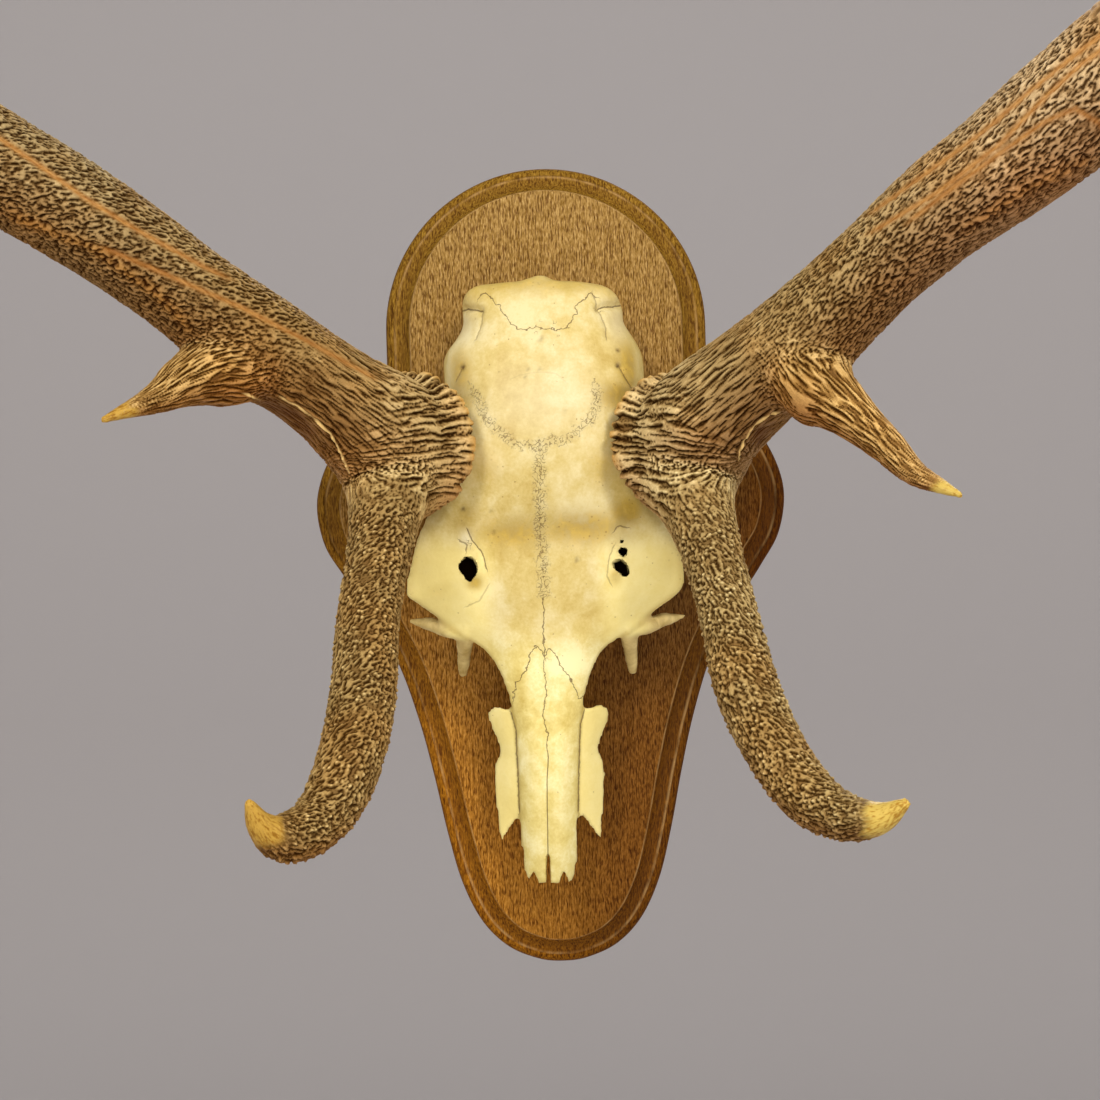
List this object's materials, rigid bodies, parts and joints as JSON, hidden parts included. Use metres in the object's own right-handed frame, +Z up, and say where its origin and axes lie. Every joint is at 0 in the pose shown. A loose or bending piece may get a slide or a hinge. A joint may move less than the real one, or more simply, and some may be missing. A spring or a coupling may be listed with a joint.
{
  "type": "antler trophy",
  "caption": "Wall trophy: a cut red deer skull with both branching antlers, mounted on a moulded oak shield with an arched top and a narrow round foot.",
  "frame": {"origin": "middle of the shield's flat back, on the wall", "axes": "+Y into the wall, +Z up, +X to the right of someone who faces the trophy"},
  "size_m": [0.9533, 0.3984, 1.0421],
  "materials": {
    "oak": "satin",
    "bone": "matte",
    "antler": "satin"
  },
  "bodies": {
    "root": {"shield": "oak", "skull": "bone", "left_lower_beam": "antler", "left_middle_beam": "antler", "left_upper_beam": "antler", "left_brow_tine": "antler", "left_bez_tine": "antler", "left_tray_tine": "antler", "left_crown_top_tine": "antler", "left_crown_rear_tine": "antler", "left_crown_front_tine": "antler", "right_lower_beam": "antler", "right_middle_beam": "antler", "right_upper_beam": "antler", "right_brow_tine": "antler", "right_bez_tine": "antler", "right_tray_tine": "antler", "right_crown_top_tine": "antler", "right_crown_rear_tine": "antler", "right_crown_front_tine": "antler"}
  },
  "joints": []
}
